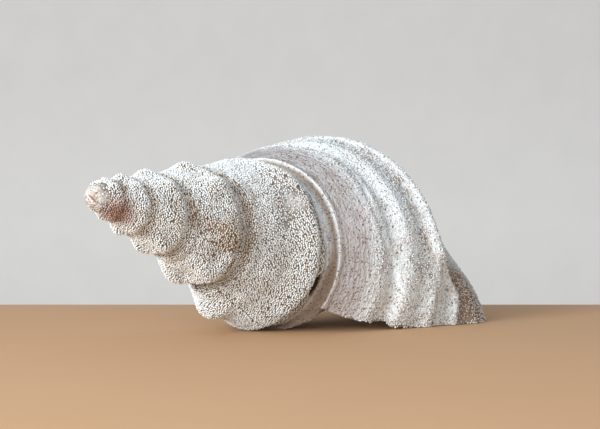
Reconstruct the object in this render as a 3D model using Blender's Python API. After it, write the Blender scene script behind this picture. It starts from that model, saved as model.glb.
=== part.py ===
"""Horse conch shell: one grown piece, worn and lying on its opening.

Metres, +Z up. The coiling axis runs along +X, from the apex at -X to the
canal at +X, and dips towards the canal. The shell rests on the underside of
its second last whorl, on the edge of its outer lip and on its canal.

Each whorl repeats the one before it, larger by GROWTH. A place on the shell
is told by its angle along the coil, 0 at the outer lip and falling towards
the apex, and by its distance along the axis at the size of the last whorl.
"""

import math

import bmesh
import bpy
import numpy as np
from mathutils import Matrix, Vector

MM = 0.001
TURN = 2.0 * math.pi

# Driving dimensions
SPIRE_LENGTH = 105.0 * MM
SHELL_LENGTH = 222.0 * MM
GROWTH = 1.541
WHORLS = 6
WALL = 2.6 * MM
CALLUS = 1.2 * MM
CALLUS_LEAD = 0.4
LUMEN_TURNS = 3.0

# How the shell lies: the turn of its opening about the coiling axis, and the dip of the axis
OPENING_ROLL = math.radians(138.9)
AXIS_DIP = math.radians(9.75)
WORN_FLAT = 3.4 * MM

# A whorl's outline, from its suture to the next: share of the way, and rise over the cone of sutures
SUTURE_RADIUS = 28.6 * MM
SPIRE_RISE = (
    (0.00, 0.0 * MM),
    (0.20, 0.8 * MM),
    (0.45, 0.8 * MM),
    (0.70, 1.8 * MM),
    (0.87, -3.4 * MM),
    (1.00, 0.0 * MM),
)
# The second last whorl has a narrow cord on the ledge under its shoulder
LEDGE_RISE = (
    (0.00, 0.0 * MM),
    (0.20, 0.8 * MM),
    (0.45, 1.0 * MM),
    (0.69, 2.8 * MM),
    (0.79, -2.4 * MM),
    (0.86, -1.6 * MM),
    (0.95, -4.0 * MM),
    (1.00, 0.0 * MM),
)
# The last whorl has broad spiral cords with grooves between them, and a round base
LAST_RISE = (
    (0.00, 0.0 * MM),
    (0.14, 2.9 * MM),
    (0.28, 5.0 * MM),
    (0.38, 3.9 * MM),
    (0.50, 6.3 * MM),
    (0.63, 5.3 * MM),
    (0.73, 6.9 * MM),
    (0.87, 0.6 * MM),
    (1.00, -3.9 * MM),
)
LEDGE_TURNS = (-2.4, -2.0)
LAST_TURNS = (-1.0, -0.7)
# The base, past the next suture: distance along the axis beyond it, and radius
BASE_OUTLINE = (
    (21.5 * MM, 31.0 * MM),
    (40.0 * MM, 16.5 * MM),
)
CANAL_RADIUS = 8.8 * MM
# At the lip the base flares out past a ridge and a hollow flank
LIP_OUTLINE = (
    (-13.5 * MM, 47.2 * MM),
    (-6.5 * MM, 48.2 * MM),
    (0.0 * MM, 51.7 * MM),
    (9.0 * MM, 60.8 * MM),
    (18.3 * MM, 60.6 * MM),
    (42.0 * MM, 18.0 * MM),
)
LIP_KEEPS = 6
LIP_TURNS = (-0.193, 0.0)
# Extra thickness that the small whorls keep, so the spire ends blunt
APEX_THICKENING = 3.15 * MM
# How far the lip's edge falls back from the suture towards the canal, in radians per whorl height
LIP_SLOPE = 0.528
LIP_CURL = -0.30
LIP_SWEEP = 0.128
LIP_REACH = 1.70
LIP_LEAD = 1.2
# The wall thins to this share at the lip's edge, over this many radians
LIP_EDGE = 0.5
LIP_THINNING = 0.8

# The hollow: where it starts under the suture, how low it reaches, and its open canal
HOLLOW_TOP = 5.0 * MM
HOLLOW_LOW = 184.0 * MM
HOLLOW_LOW_EARLY = 165.0 * MM
HOLLOW_SHORTENS = 0.3 * TURN
CANAL_END = 218.0 * MM
CANAL_TURN = 0.3 * TURN
CANAL_DEPTH = 0.6
CANAL_LEAD = 30.0 * MM
CANAL_NOTCH = 3.0 * MM
CANAL_BEND = 4.5 * MM
APEX_LOSS = 6.5 * MM
PROBE = 0.5 * MM

# Low knobs round the middle of the spire's whorls, and one more under the start of the last whorl
KNOBS_PER_TURN = 7
KNOB_RISE = 4.4 * MM
KNOB_PHASE = 0.68
KNOB_WIDTH = 0.22
KNOB_POINT = 1.5
KNOB_MIDDLE = 0.48
KNOB_TURNS = (-1.4, -1.9)
LAST_KNOB_RISE = 4.0 * MM
LAST_KNOB_TURN = -0.83
LAST_KNOB_MIDDLE = 0.24
LAST_KNOB_SPREAD = 0.045

# Mesh steps
STEPS_PER_TURN = 48
WHORL_ROWS = (0.0, 0.14, 0.28, 0.38, 0.50, 0.63, 0.71, 0.79, 0.87, 0.94, 1.0)
NECK_ROWS = (0.07, 0.14, 0.22, 0.30, 0.39, 0.50, 0.65, 0.82, 1.0)
LUMEN_STEP = 3
COLUMN_SAMPLES = 61

WHORL_HEIGHT = SPIRE_LENGTH * (GROWTH - 1.0)
BASE = SPIRE_LENGTH * GROWTH


def smooth(t):
    """Ease from 0 to 1."""
    t = np.clip(t, 0.0, 1.0)
    return t * t * (3.0 - 2.0 * t)


def curve_through(points):
    """A function that passes through the points without overshooting them."""
    x = np.array([point[0] for point in points])
    y = np.array([point[1] for point in points])
    step = np.diff(x)
    slope = np.diff(y) / step
    tangent = np.zeros(len(x))
    tangent[0] = slope[0]
    tangent[-1] = slope[-1]
    for i in range(1, len(x) - 1):
        if slope[i - 1] * slope[i] > 0.0:
            before = 2.0 * step[i] + step[i - 1]
            after = step[i] + 2.0 * step[i - 1]
            tangent[i] = (before + after) / (before / slope[i - 1] + after / slope[i])

    def value(at):
        at = np.clip(at, x[0], x[-1])
        k = np.clip(np.searchsorted(x, at, side="right") - 1, 0, len(x) - 2)
        t = (at - x[k]) / step[k]
        rise = t * t * (3.0 - 2.0 * t)
        lead = t * (1.0 - t) * (1.0 - t)
        trail = t * t * (t - 1.0)
        return y[k] + (y[k + 1] - y[k]) * rise + step[k] * (tangent[k] * lead + tangent[k + 1] * trail)

    return value


def whorl_points(rises):
    """A whorl's outline between two sutures, at the size of the last whorl."""
    points = []
    for share, rise in rises:
        along = SPIRE_LENGTH + share * WHORL_HEIGHT
        points.append((along, SUTURE_RADIUS * along / SPIRE_LENGTH + rise))
    return points


def base_points(outline):
    points = [(BASE + beyond, radius) for beyond, radius in outline]
    return points + [(SHELL_LENGTH, CANAL_RADIUS)]


spire_outline = curve_through(whorl_points(SPIRE_RISE) + base_points(BASE_OUTLINE))
ledge_outline = curve_through(whorl_points(LEDGE_RISE) + base_points(BASE_OUTLINE))
last_outline = curve_through(whorl_points(LAST_RISE) + base_points(BASE_OUTLINE))
lip_outline = curve_through(whorl_points(LAST_RISE[:LIP_KEEPS]) + base_points(LIP_OUTLINE))


def scale_at(turn):
    """Size of the shell at an angle along the coil, against its size at the lip."""
    return np.exp(math.log(GROWTH) * turn / TURN)


def lip_angle(along):
    """Where the lip's edge lies: it falls back from the suture to the canal."""
    t = np.clip((along - SPIRE_LENGTH) / WHORL_HEIGHT, 0.0, LIP_REACH)
    return -(LIP_SLOPE * t + LIP_CURL * t**2 + LIP_SWEEP * t**3)


def grown(turn, turns):
    """Ease from 0 to 1 between two places along the coil, in turns before the lip."""
    return smooth((turn / TURN - turns[0]) / (turns[1] - turns[0]))


def outline(turn, along):
    """Radius of the whorl at full size, as its outline changes along the coil."""
    ledge = grown(turn, LEDGE_TURNS)
    last = grown(turn, LAST_TURNS)
    lip = grown(turn, LIP_TURNS)
    radius = (1.0 - ledge) * spire_outline(along) + ledge * ledge_outline(along)
    radius = (1.0 - last) * radius + last * last_outline(along)
    return (1.0 - lip) * radius + lip * lip_outline(along)


def knobs(turn, along):
    """Rise of the knobs."""
    share = (along - SPIRE_LENGTH) / WHORL_HEIGHT
    across = np.exp(-(((share - KNOB_MIDDLE) / KNOB_WIDTH) ** 2))
    beat = 0.5 + 0.5 * np.cos(KNOBS_PER_TURN * turn + KNOB_PHASE * TURN)
    row = KNOB_RISE * grown(turn, KNOB_TURNS) * across * beat**KNOB_POINT
    aside = (turn / TURN - LAST_KNOB_TURN) / LAST_KNOB_SPREAD
    above = (share - LAST_KNOB_MIDDLE) / KNOB_WIDTH
    return row + LAST_KNOB_RISE * np.exp(-(aside**2) - above**2)


def outer_place(turn, along, detail=True):
    """Distance along the axis and radius of the outer surface."""
    size = scale_at(turn)
    radius = outline(turn, along)
    if detail:
        radius = radius + knobs(turn, along)
    thickening = APEX_THICKENING * radius / np.minimum(along, BASE)
    beyond = np.clip((along - BASE) / (SHELL_LENGTH - BASE), 0.0, 1.0)
    place = size * along + (1.0 - size) * SHELL_LENGTH * beyond**2
    return place, size * radius + thickening


def column_radius(place):
    """Radius of the last whorl's floor: the whorl before it, then the columella."""
    along = np.linspace(BASE, SHELL_LENGTH, COLUMN_SAMPLES)
    x, r = outer_place(-TURN, along, detail=False)
    return np.interp(place, x, r)


def point(turn, place, radius):
    """A point at an angle along the coil, before the shell is laid down."""
    angle = OPENING_ROLL + turn
    return (float(place), -float(radius) * math.sin(angle), float(radius) * math.cos(angle))


def edge_turn(turn, along):
    """The angle of a growth line, which leans more and more as the lip is neared."""
    return turn + lip_angle(along) * smooth(1.0 + turn / LIP_LEAD)


def outer_point(turn, along):
    turn = edge_turn(turn, along)
    return point(turn, *outer_place(turn, along))


def lumen_low(turn):
    """How far down the hollow reaches: to the canal's end at the lip, then to the base."""
    low = HOLLOW_LOW + (CANAL_END - HOLLOW_LOW) * (1.0 - smooth(-turn / CANAL_TURN))
    return low - (HOLLOW_LOW - HOLLOW_LOW_EARLY) * smooth((-turn - TURN) / HOLLOW_SHORTENS)


def inner_wall_point(turn, along):
    """The outer surface, set in by the wall's thickness square to the outline."""
    turn = edge_turn(turn, along)
    x0, r0 = outer_place(turn, along - PROBE)
    x1, r1 = outer_place(turn, along + PROBE)
    lean = math.hypot(x1 - x0, r1 - r0)
    wall = WALL * scale_at(turn) * (LIP_EDGE + (1.0 - LIP_EDGE) * smooth(-turn / LIP_THINNING))
    x = 0.5 * (x0 + x1) + wall * (r1 - r0) / lean
    r = 0.5 * (r0 + r1) - wall * (x1 - x0) / lean
    return turn, float(x), float(r)


def lumen_ring(turn, outer_shares, inner_shares):
    """One ring of the hollow: down the outer wall, across, and back up the column."""
    top = SPIRE_LENGTH + HOLLOW_TOP
    low = lumen_low(turn)
    size = float(scale_at(turn))
    wall_points = [inner_wall_point(turn, top + (low - top) * share) for share in outer_shares]
    ring = [point(*wall_point) for wall_point in wall_points]
    x_top = wall_points[0][1]
    x_low = wall_points[-1][1]
    near_lip = 1.0 - smooth(-turn / CANAL_TURN)
    column = []
    for share in inner_shares:
        x = x_top + (x_low - x_top) * share
        r = size * float(column_radius(x / size)) + CALLUS * float(smooth(-turn / CALLUS_LEAD))
        r -= r * CANAL_DEPTH * float(smooth((x - BASE) / CANAL_LEAD)) * near_lip
        column.append(point(turn, x, r))
    floor = Vector(ring[-1]).lerp(Vector(column[-1]), 0.5)
    return ring + [tuple(floor)] + column[::-1]


def closed_fan(mesh, ring, centre):
    """Close a ring with triangles to a point in its middle."""
    middle = mesh.verts.new(centre)
    for i, vertex in enumerate(ring):
        mesh.faces.new((vertex, ring[(i + 1) % len(ring)], middle))
    return middle


def join_rings(mesh, first, second):
    count = len(first)
    for i in range(count):
        j = (i + 1) % count
        mesh.faces.new((first[i], first[j], second[j], second[i]))


def build_coil(mesh):
    """The outer surface, one row of points for each step along the coil."""
    steps = WHORLS * STEPS_PER_TURN
    whorl = [SPIRE_LENGTH + share * WHORL_HEIGHT for share in WHORL_ROWS]
    neck = [BASE + share * (SHELL_LENGTH - BASE) for share in NECK_ROWS]
    suture = len(whorl) - 1
    rows = []
    for i in range(steps + 1):
        turn = TURN * (i / STEPS_PER_TURN - WHORLS)
        row = [mesh.verts.new(outer_point(turn, along)) for along in whorl[1:]]
        if i < STEPS_PER_TURN:
            row.insert(0, mesh.verts.new(outer_point(turn, whorl[0])))
        else:
            row.insert(0, rows[i - STEPS_PER_TURN][suture])
        if i >= steps - STEPS_PER_TURN:
            row += [mesh.verts.new(outer_point(turn, along)) for along in neck]
        rows.append(row)
    for before, after in zip(rows, rows[1:]):
        for j in range(min(len(before), len(after)) - 1):
            mesh.faces.new((before[j], before[j + 1], after[j + 1], after[j]))
    return rows, suture


def build_apex(mesh, rows, suture):
    """The worn, blunt tip."""
    ring = [row[0] for row in rows[:STEPS_PER_TURN]] + rows[0][suture:0:-1]
    closed_fan(mesh, ring, (APEX_LOSS, 0.0, 0.0))


def build_opening(mesh, rows, suture):
    """The opening, the open canal and the hollow that winds back into the spire."""
    last = rows[-1]
    first = rows[-1 - STEPS_PER_TURN]
    tip = mesh.verts.new((SHELL_LENGTH - CANAL_NOTCH, 0.0, 0.0))
    tips = [row[-1] for row in rows[-1 - STEPS_PER_TURN:]]
    for before, after in zip(tips, tips[1:]):
        mesh.faces.new((before, after, tip))
    ring = last + [tip] + first[:suture:-1]

    whorl = [SPIRE_LENGTH + share * WHORL_HEIGHT for share in WHORL_ROWS]
    neck = [BASE + share * (SHELL_LENGTH - BASE) for share in NECK_ROWS]
    reach = SHELL_LENGTH - SPIRE_LENGTH
    outer_shares = [(along - SPIRE_LENGTH) / reach for along in whorl + neck]
    inner_shares = [(k + 1.0) / len(neck) for k in range(len(neck))]
    count = int(LUMEN_TURNS * STEPS_PER_TURN / LUMEN_STEP)
    for k in range(count + 1):
        turn = -TURN * k * LUMEN_STEP / STEPS_PER_TURN
        places = lumen_ring(turn, outer_shares, inner_shares)
        inner = [mesh.verts.new(place) for place in places]
        join_rings(mesh, ring, inner)
        ring = inner
    middle = sum((vertex.co for vertex in ring), Vector()) / len(ring)
    closed_fan(mesh, ring, middle)


def lay_down(mesh):
    """Bend the canal a little, tip the axis towards it, and wear the contacts flat on the ground."""
    for vertex in mesh.verts:
        beyond = max(vertex.co.x - BASE, 0.0) / (SHELL_LENGTH - BASE)
        vertex.co.z -= CANAL_BEND * beyond**2
    bmesh.ops.transform(mesh, matrix=Matrix.Rotation(AXIS_DIP, 4, "Y"), verts=mesh.verts)
    low = [min(vertex.co[i] for vertex in mesh.verts) for i in range(3)]
    high = [max(vertex.co[i] for vertex in mesh.verts) for i in range(3)]
    shift = Vector((-0.5 * (low[0] + high[0]), -0.5 * (low[1] + high[1]), -low[2] - WORN_FLAT))
    bmesh.ops.translate(mesh, vec=shift, verts=mesh.verts)
    for vertex in mesh.verts:
        vertex.co.z = max(vertex.co.z, 0.0)


def chalk_material():
    material = bpy.data.materials.new("chalky_shell")
    material.use_nodes = True
    shader = material.node_tree.nodes["Principled BSDF"]
    shader.inputs["Base Color"].default_value = (0.66, 0.62, 0.56, 1.0)
    shader.inputs["Roughness"].default_value = 0.9
    shader.inputs["Metallic"].default_value = 0.0
    return material


def build_shell(collection):
    mesh = bmesh.new()
    rows, suture = build_coil(mesh)
    build_apex(mesh, rows, suture)
    build_opening(mesh, rows, suture)
    lay_down(mesh)
    bmesh.ops.recalc_face_normals(mesh, faces=mesh.faces)
    bmesh.ops.triangulate(mesh, faces=mesh.faces)
    data = bpy.data.meshes.new("shell")
    mesh.to_mesh(data)
    mesh.free()
    data.shade_smooth()
    shell = bpy.data.objects.new("shell", data)
    data.materials.append(chalk_material())
    collection.objects.link(shell)
    return shell


def main():
    for old in list(bpy.data.objects):
        bpy.data.objects.remove(old, do_unlink=True)
    collection = bpy.data.collections.new("horse_conch")
    bpy.context.scene.collection.children.link(collection)
    build_shell(collection)


main()
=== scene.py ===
"""Horse conch shell: chalky, worn and crusted, lying on its opening.

The dense surface repeats the part's formulas. A place on the shell is told by
its angle along the coil, 0 at the outer lip and falling towards the apex, and
by its distance along the axis at the size of the last whorl.
"""

import math

import bpy
import numpy as np
from mathutils import Matrix, Vector, noise


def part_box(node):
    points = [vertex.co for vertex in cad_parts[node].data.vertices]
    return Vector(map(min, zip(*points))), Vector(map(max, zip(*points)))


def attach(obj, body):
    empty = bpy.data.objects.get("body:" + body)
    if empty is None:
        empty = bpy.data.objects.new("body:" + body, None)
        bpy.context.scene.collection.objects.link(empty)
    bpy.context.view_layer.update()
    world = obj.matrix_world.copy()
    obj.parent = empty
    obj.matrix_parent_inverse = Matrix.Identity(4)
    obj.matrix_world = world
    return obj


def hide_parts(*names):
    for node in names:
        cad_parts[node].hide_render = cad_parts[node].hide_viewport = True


MM = 0.001
TURN = 2.0 * math.pi

# The part's form
SPIRE_LENGTH = 105.0 * MM
SHELL_LENGTH = 222.0 * MM
GROWTH = 1.541
WHORLS = 6
WALL = 2.6 * MM
CALLUS = 1.2 * MM
LUMEN_TURNS = 3.0
OPENING_ROLL = math.radians(138.9)
AXIS_DIP = math.radians(9.75)
APEX_PLACE = np.array((-112.865, 6.174, 47.827)) * MM
SUTURE_RADIUS = 28.6 * MM
SPIRE_RISE = ((0, 0), (0.20, 0.8), (0.45, 0.8), (0.70, 1.8), (0.87, -3.4), (1, 0))
LEDGE_RISE = (
    (0, 0), (0.20, 0.8), (0.45, 1.0), (0.69, 2.8), (0.79, -2.4), (0.86, -1.6), (0.95, -4.0), (1, 0),
)
LAST_RISE = (
    (0, 0), (0.14, 2.9), (0.28, 5.0), (0.38, 3.9), (0.50, 6.3), (0.63, 5.3), (0.73, 6.9), (0.87, 0.6),
    (1, -3.9),
)
LEDGE_TURNS = (-2.4, -2.0)
LAST_TURNS = (-1.0, -0.7)
BASE_OUTLINE = ((21.5, 31.0), (40.0, 16.5))
CANAL_RADIUS = 8.8
LIP_OUTLINE = ((-13.5, 47.2), (-6.5, 48.2), (0, 51.7), (9, 60.8), (18.3, 60.6), (42, 18.0))
LIP_KEEPS = 6
LIP_TURNS = (-0.193, 0.0)
APEX_THICKENING = 3.15 * MM
LIP_SLOPE = 0.528
LIP_CURL = -0.30
LIP_SWEEP = 0.128
LIP_REACH = 1.70
LIP_LEAD = 1.2
LIP_EDGE = 0.5
LIP_THINNING = 0.8
CALLUS_LEAD = 0.4
HOLLOW_TOP = 5.0 * MM
HOLLOW_LOW = 184.0 * MM
HOLLOW_LOW_EARLY = 165.0 * MM
HOLLOW_SHORTENS = 0.3 * TURN
CANAL_END = 218.0 * MM
CANAL_TURN = 0.3 * TURN
CANAL_DEPTH = 0.6
CANAL_LEAD = 30.0 * MM
CANAL_NOTCH = 3.0 * MM
CANAL_BEND = 4.5 * MM
APEX_LOSS = 6.5 * MM
PROBE = 0.5 * MM
KNOBS_PER_TURN = 7
KNOB_RISE = 4.4 * MM
KNOB_PHASE = 0.68
KNOB_WIDTH = 0.22
KNOB_POINT = 1.5
KNOB_MIDDLE = 0.48
KNOB_TURNS = (-1.4, -1.9)
LAST_KNOB_RISE = 4.0 * MM
LAST_KNOB_TURN = -0.83
LAST_KNOB_MIDDLE = 0.24
LAST_KNOB_SPREAD = 0.045
WHORL_HEIGHT = SPIRE_LENGTH * (GROWTH - 1.0)
BASE = SPIRE_LENGTH * GROWTH

# Steps of the dense surface: along the coil, across each whorl from the apex on, and down the base
STEPS = 300
ROWS = (9, 12, 18, 28, 68, 72)
NECK_ROWS = 58
NECK_CROWDING = 1.15
COLUMN_SAMPLES = 61
APEX_SHARES = (0.25, 0.5, 0.75)
APEX_BULGE = 0.5 * MM
TINY = 1e-9

# Steps of the hollow: down its outer wall, back up the column, and its rings near the lip and beyond
LUMEN_OUTER = 64
LUMEN_INNER = 26
NEAR_RINGS = 34
NEAR_ANGLE = 0.22 * TURN
FAR_RINGS = 72
LOOP_END = 2.02


def smooth(t):
    """Ease from 0 to 1."""
    t = np.clip(t, 0.0, 1.0)
    return t * t * (3.0 - 2.0 * t)


def curve_through(points):
    """A function that passes through the points without overshooting them."""
    x = np.array([p[0] for p in points])
    y = np.array([p[1] for p in points])
    step = np.diff(x)
    slope = np.diff(y) / step
    tangent = np.zeros(len(x))
    tangent[0] = slope[0]
    tangent[-1] = slope[-1]
    for i in range(1, len(x) - 1):
        if slope[i - 1] * slope[i] > 0.0:
            before = 2.0 * step[i] + step[i - 1]
            after = step[i] + 2.0 * step[i - 1]
            tangent[i] = (before + after) / (before / slope[i - 1] + after / slope[i])

    def value(at):
        at = np.clip(at, x[0], x[-1])
        k = np.clip(np.searchsorted(x, at, side="right") - 1, 0, len(x) - 2)
        t = (at - x[k]) / step[k]
        rise = t * t * (3.0 - 2.0 * t)
        lead = t * (1.0 - t) * (1.0 - t)
        trail = t * t * (t - 1.0)
        return y[k] + (y[k + 1] - y[k]) * rise + step[k] * (tangent[k] * lead + tangent[k + 1] * trail)

    return value


def whorl_points(rises):
    points = []
    for share, rise in rises:
        along = SPIRE_LENGTH + share * WHORL_HEIGHT
        points.append((along, SUTURE_RADIUS * along / SPIRE_LENGTH + rise * MM))
    return points


def base_points(outline):
    points = [(BASE + beyond * MM, radius * MM) for beyond, radius in outline]
    return points + [(SHELL_LENGTH, CANAL_RADIUS * MM)]


spire_outline = curve_through(whorl_points(SPIRE_RISE) + base_points(BASE_OUTLINE))
ledge_outline = curve_through(whorl_points(LEDGE_RISE) + base_points(BASE_OUTLINE))
last_outline = curve_through(whorl_points(LAST_RISE) + base_points(BASE_OUTLINE))
lip_outline = curve_through(whorl_points(LAST_RISE[:LIP_KEEPS]) + base_points(LIP_OUTLINE))


def scale_at(turn):
    """Size of the shell at an angle along the coil, against its size at the lip."""
    return np.exp(math.log(GROWTH) * turn / TURN)


def lip_angle(along):
    """Where the lip's edge lies: it falls back from the suture to the canal."""
    t = np.clip((along - SPIRE_LENGTH) / WHORL_HEIGHT, 0.0, LIP_REACH)
    return -(LIP_SLOPE * t + LIP_CURL * t**2 + LIP_SWEEP * t**3)


def grown(turn, turns):
    return smooth((turn / TURN - turns[0]) / (turns[1] - turns[0]))


def outline(turn, along):
    ledge = grown(turn, LEDGE_TURNS)
    last = grown(turn, LAST_TURNS)
    lip = grown(turn, LIP_TURNS)
    radius = (1.0 - ledge) * spire_outline(along) + ledge * ledge_outline(along)
    radius = (1.0 - last) * radius + last * last_outline(along)
    return (1.0 - lip) * radius + lip * lip_outline(along)


def knobs(turn, along):
    share = (along - SPIRE_LENGTH) / WHORL_HEIGHT
    across = np.exp(-(((share - KNOB_MIDDLE) / KNOB_WIDTH) ** 2))
    beat = 0.5 + 0.5 * np.cos(KNOBS_PER_TURN * turn + KNOB_PHASE * TURN)
    row = KNOB_RISE * grown(turn, KNOB_TURNS) * across * beat**KNOB_POINT
    aside = (turn / TURN - LAST_KNOB_TURN) / LAST_KNOB_SPREAD
    above = (share - LAST_KNOB_MIDDLE) / KNOB_WIDTH
    return row + LAST_KNOB_RISE * np.exp(-(aside**2) - above**2)


def outer_place(turn, along, detail=True):
    """Distance along the axis and radius of the outer surface."""
    size = scale_at(turn)
    radius = outline(turn, along)
    if detail:
        radius = radius + knobs(turn, along)
    thickening = APEX_THICKENING * radius / np.minimum(along, BASE)
    beyond = np.clip((along - BASE) / (SHELL_LENGTH - BASE), 0.0, 1.0)
    place = size * along + (1.0 - size) * SHELL_LENGTH * beyond**2
    return place, size * radius + thickening


def column_radius(place):
    """Radius of the last whorl's floor: the whorl before it, then the columella."""
    along = np.linspace(BASE, SHELL_LENGTH, COLUMN_SAMPLES)
    x, r = outer_place(np.full(COLUMN_SAMPLES, -TURN), along, detail=False)
    return np.interp(place, x, r)


def points_at(turn, place, radius):
    angle = OPENING_ROLL + turn
    return np.stack([place + 0.0 * angle, -radius * np.sin(angle), radius * np.cos(angle)], axis=-1)


def edge_turn(turn, along):
    """The angle of a growth line, which leans more and more as the lip is neared."""
    return turn + lip_angle(along) * smooth(1.0 + turn / LIP_LEAD)


def lay_down(points):
    """Bend the canal, tip the axis towards it and set the apex in its place."""
    points = points.copy()
    beyond = np.maximum(points[:, 0] - BASE, 0.0) / (SHELL_LENGTH - BASE)
    points[:, 2] -= CANAL_BEND * beyond**2
    turned = np.array(Matrix.Rotation(AXIS_DIP, 3, "Y"))
    return points @ turned.T + APEX_PLACE


def lumen_low(turn):
    low = HOLLOW_LOW + (CANAL_END - HOLLOW_LOW) * (1.0 - smooth(-turn / CANAL_TURN))
    return low - (HOLLOW_LOW - HOLLOW_LOW_EARLY) * smooth((-turn - TURN) / HOLLOW_SHORTENS)


def inner_wall(turn, along):
    """The outer surface, set in by the wall's thickness square to the outline."""
    lean_turn = edge_turn(turn, along)
    x0, r0 = outer_place(lean_turn, along - PROBE)
    x1, r1 = outer_place(lean_turn, along + PROBE)
    lean = np.hypot(x1 - x0, r1 - r0)
    wall = WALL * scale_at(lean_turn) * (LIP_EDGE + (1.0 - LIP_EDGE) * smooth(-lean_turn / LIP_THINNING))
    x = 0.5 * (x0 + x1) + wall * (r1 - r0) / lean
    r = 0.5 * (r0 + r1) - wall * (x1 - x0) / lean
    return lean_turn, x, r


def lumen_ring(turn):
    """One ring of the hollow: down the outer wall, across, and back up the column."""
    top = SPIRE_LENGTH + HOLLOW_TOP
    low = lumen_low(turn)
    size = float(scale_at(turn))
    outer_shares = np.linspace(0.0, 1.0, LUMEN_OUTER)
    inner_shares = np.linspace(0.0, 1.0, LUMEN_INNER + 1)[1:]
    lean_turn, x, r = inner_wall(turn, top + (low - top) * outer_shares)
    wall = points_at(lean_turn, x, r)
    near_lip = 1.0 - smooth(-turn / CANAL_TURN)
    at = x[0] + (x[-1] - x[0]) * inner_shares
    column = size * column_radius(at / size) + CALLUS * smooth(-turn / CALLUS_LEAD)
    column = column * (1.0 - CANAL_DEPTH * smooth((at - BASE) / CANAL_LEAD) * near_lip)
    column = points_at(np.full(len(at), turn), at, column)
    floor = 0.5 * (wall[-1] + column[-1])
    floor_share = [1.0 + 0.5 / LUMEN_INNER]
    back_shares = 1.0 + (1.0 - inner_shares[::-1]) + 1.0 / LUMEN_INNER
    shares = np.concatenate([outer_shares, floor_share, back_shares])
    return np.concatenate([wall, floor[None], column[::-1]]), shares


def grain(points, size, depth=3):
    """Soft noise from -1 to 1, with lumps about the given size."""
    found = [noise.fractal(Vector(p) / size, 0.7, 2.1, depth) for p in points]
    return np.array(found)


def bell(value, middle, width):
    return np.exp(-(((value - middle) / width) ** 2))


def zip_loops(first, first_at, second, second_at):
    """Triangles between two lines of points, kept level by their places along the line."""
    faces = []
    i = 0
    j = 0
    while i < len(first) - 1 or j < len(second) - 1:
        go_first = j == len(second) - 1
        if i < len(first) - 1 and not go_first:
            go_first = first_at[i + 1] < second_at[j + 1]
        if go_first:
            faces.append((first[i], first[i + 1], second[j]))
            i += 1
        else:
            faces.append((first[i], second[j + 1], second[j]))
            j += 1
    return faces


class Surface:
    """Points of the dense surface with their place on the coil, and its faces."""

    def __init__(self):
        self.points = []
        self.turns = []
        self.alongs = []
        self.inner = []
        self.count = 0
        self.faces = []

    def add(self, points, turn, along, inner):
        n = len(points)
        self.points.append(points)
        self.turns.append(np.zeros(n) + turn)
        self.alongs.append(np.zeros(n) + along)
        self.inner.append(np.full(n, inner))
        start = self.count
        self.count += n
        return list(range(start, self.count))

    def band(self, first, second):
        for a, b, c, d in zip(first, first[1:], second[1:], second):
            self.faces.append((a, b, c, d))


def build_coil(surface):
    """The outer surface: columns of points from suture to suture, one for each step of the coil."""
    columns = []
    shares = []
    for whorl in range(WHORLS):
        count = ROWS[whorl]
        at = np.linspace(0.0, 1.0, count)
        along = SPIRE_LENGTH + at * WHORL_HEIGHT
        if whorl == WHORLS - 1:
            neck = np.linspace(0.0, 1.0, NECK_ROWS + 1)[1:] ** NECK_CROWDING
            along = np.concatenate([along, BASE + neck * (SHELL_LENGTH - BASE)])
        last_column = STEPS + 1 if whorl == WHORLS - 1 else STEPS
        for k in range(last_column):
            step = whorl * STEPS + k
            turn = TURN * (step / STEPS - WHORLS)
            lean = edge_turn(turn, along)
            x, r = outer_place(lean, along)
            places = points_at(lean, x, r)
            if step < STEPS:
                column = surface.add(places, lean, along, 0.0)
            else:
                before = columns[step - STEPS]
                suture = ROWS[(step - STEPS) // STEPS] - 1
                column = [before[suture]] + surface.add(places[1:], lean[1:], along[1:], 0.0)
            columns.append(column)
            shares.append(along)
    surface.shares = shares[-1]
    for k in range(len(columns) - 1):
        if len(columns[k]) == len(columns[k + 1]):
            surface.band(columns[k], columns[k + 1])
            continue
        n = len(columns[k])
        stop = int(np.searchsorted(shares[k + 1], shares[k][-1] + TINY))
        surface.faces += zip_loops(columns[k], shares[k], columns[k + 1][:stop], shares[k + 1][:stop])
    return columns


def build_apex(surface, columns):
    """The blunt tip: rings that close in on its middle."""
    start = columns[0]
    ring = [columns[k][0] for k in range(STEPS)] + start[:0:-1]
    points = np.concatenate(surface.points)
    edge = points[ring]
    middle = np.array((APEX_LOSS, 0.0, 0.0))
    rings = [ring]
    for share in APEX_SHARES:
        places = edge * (1.0 - share) + middle * share
        places[:, 0] -= APEX_BULGE * math.sin(share * math.pi)
        rings.append(surface.add(places, -WHORLS * TURN, SPIRE_LENGTH, 0.0))
    for before, after in zip(rings, rings[1:]):
        surface.band(before + before[:1], after + after[:1])
    tip = surface.add(middle[None], -WHORLS * TURN, SPIRE_LENGTH, 0.0)[0]
    last = rings[-1]
    for k in range(len(last)):
        surface.faces.append((last[k], last[(k + 1) % len(last)], tip))


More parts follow.
